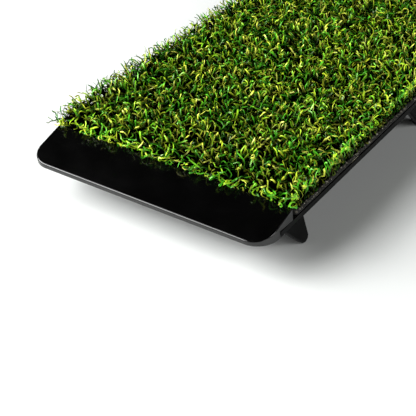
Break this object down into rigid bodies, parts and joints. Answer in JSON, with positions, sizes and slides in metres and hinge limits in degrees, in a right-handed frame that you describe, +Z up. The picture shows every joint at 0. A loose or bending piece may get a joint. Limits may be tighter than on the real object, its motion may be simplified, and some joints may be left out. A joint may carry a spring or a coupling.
{
  "type": "golf hitting mat",
  "caption": "Golf hitting mat: curled green turf on a stiff black board with a low ramp at each end, standing clear of the floor on raked side fins.",
  "frame": {"origin": "on the floor under the middle of the mat", "axes": "+Y along the mat from the front ramp to the rear ramp, +X to the right seen from the front ramp, +Z up"},
  "size_m": [0.2, 0.4596, 0.0514],
  "materials": {
    "board": "black moulded sheet with a light satin",
    "ramp": "deep black moulding with a fine grain",
    "leg": "deep black moulding",
    "screw": "zinc plated",
    "glue": "dried contact adhesive",
    "foam": "closed-cell foam",
    "backing": "woven and latex coated",
    "turf": "curled polyethylene ribbon pile in mixed greens"
  },
  "bodies": {
    "root": {"board": "board", "front_ramp": "ramp", "rear_ramp": "ramp", "front_ramp_screws": "screw", "rear_ramp_screws": "screw", "glue_sheet": "glue", "foam_sheet": "foam", "turf_backing": "backing", "turf_pile": "turf", "front_left_leg": "leg", "front_right_leg": "leg", "middle_left_leg": "leg", "middle_right_leg": "leg", "rear_left_leg": "leg", "rear_right_leg": "leg", "front_left_leg_screws": "screw", "front_right_leg_screws": "screw", "middle_left_leg_screws": "screw", "middle_right_leg_screws": "screw", "rear_left_leg_screws": "screw", "rear_right_leg_screws": "screw"}
  },
  "joints": []
}
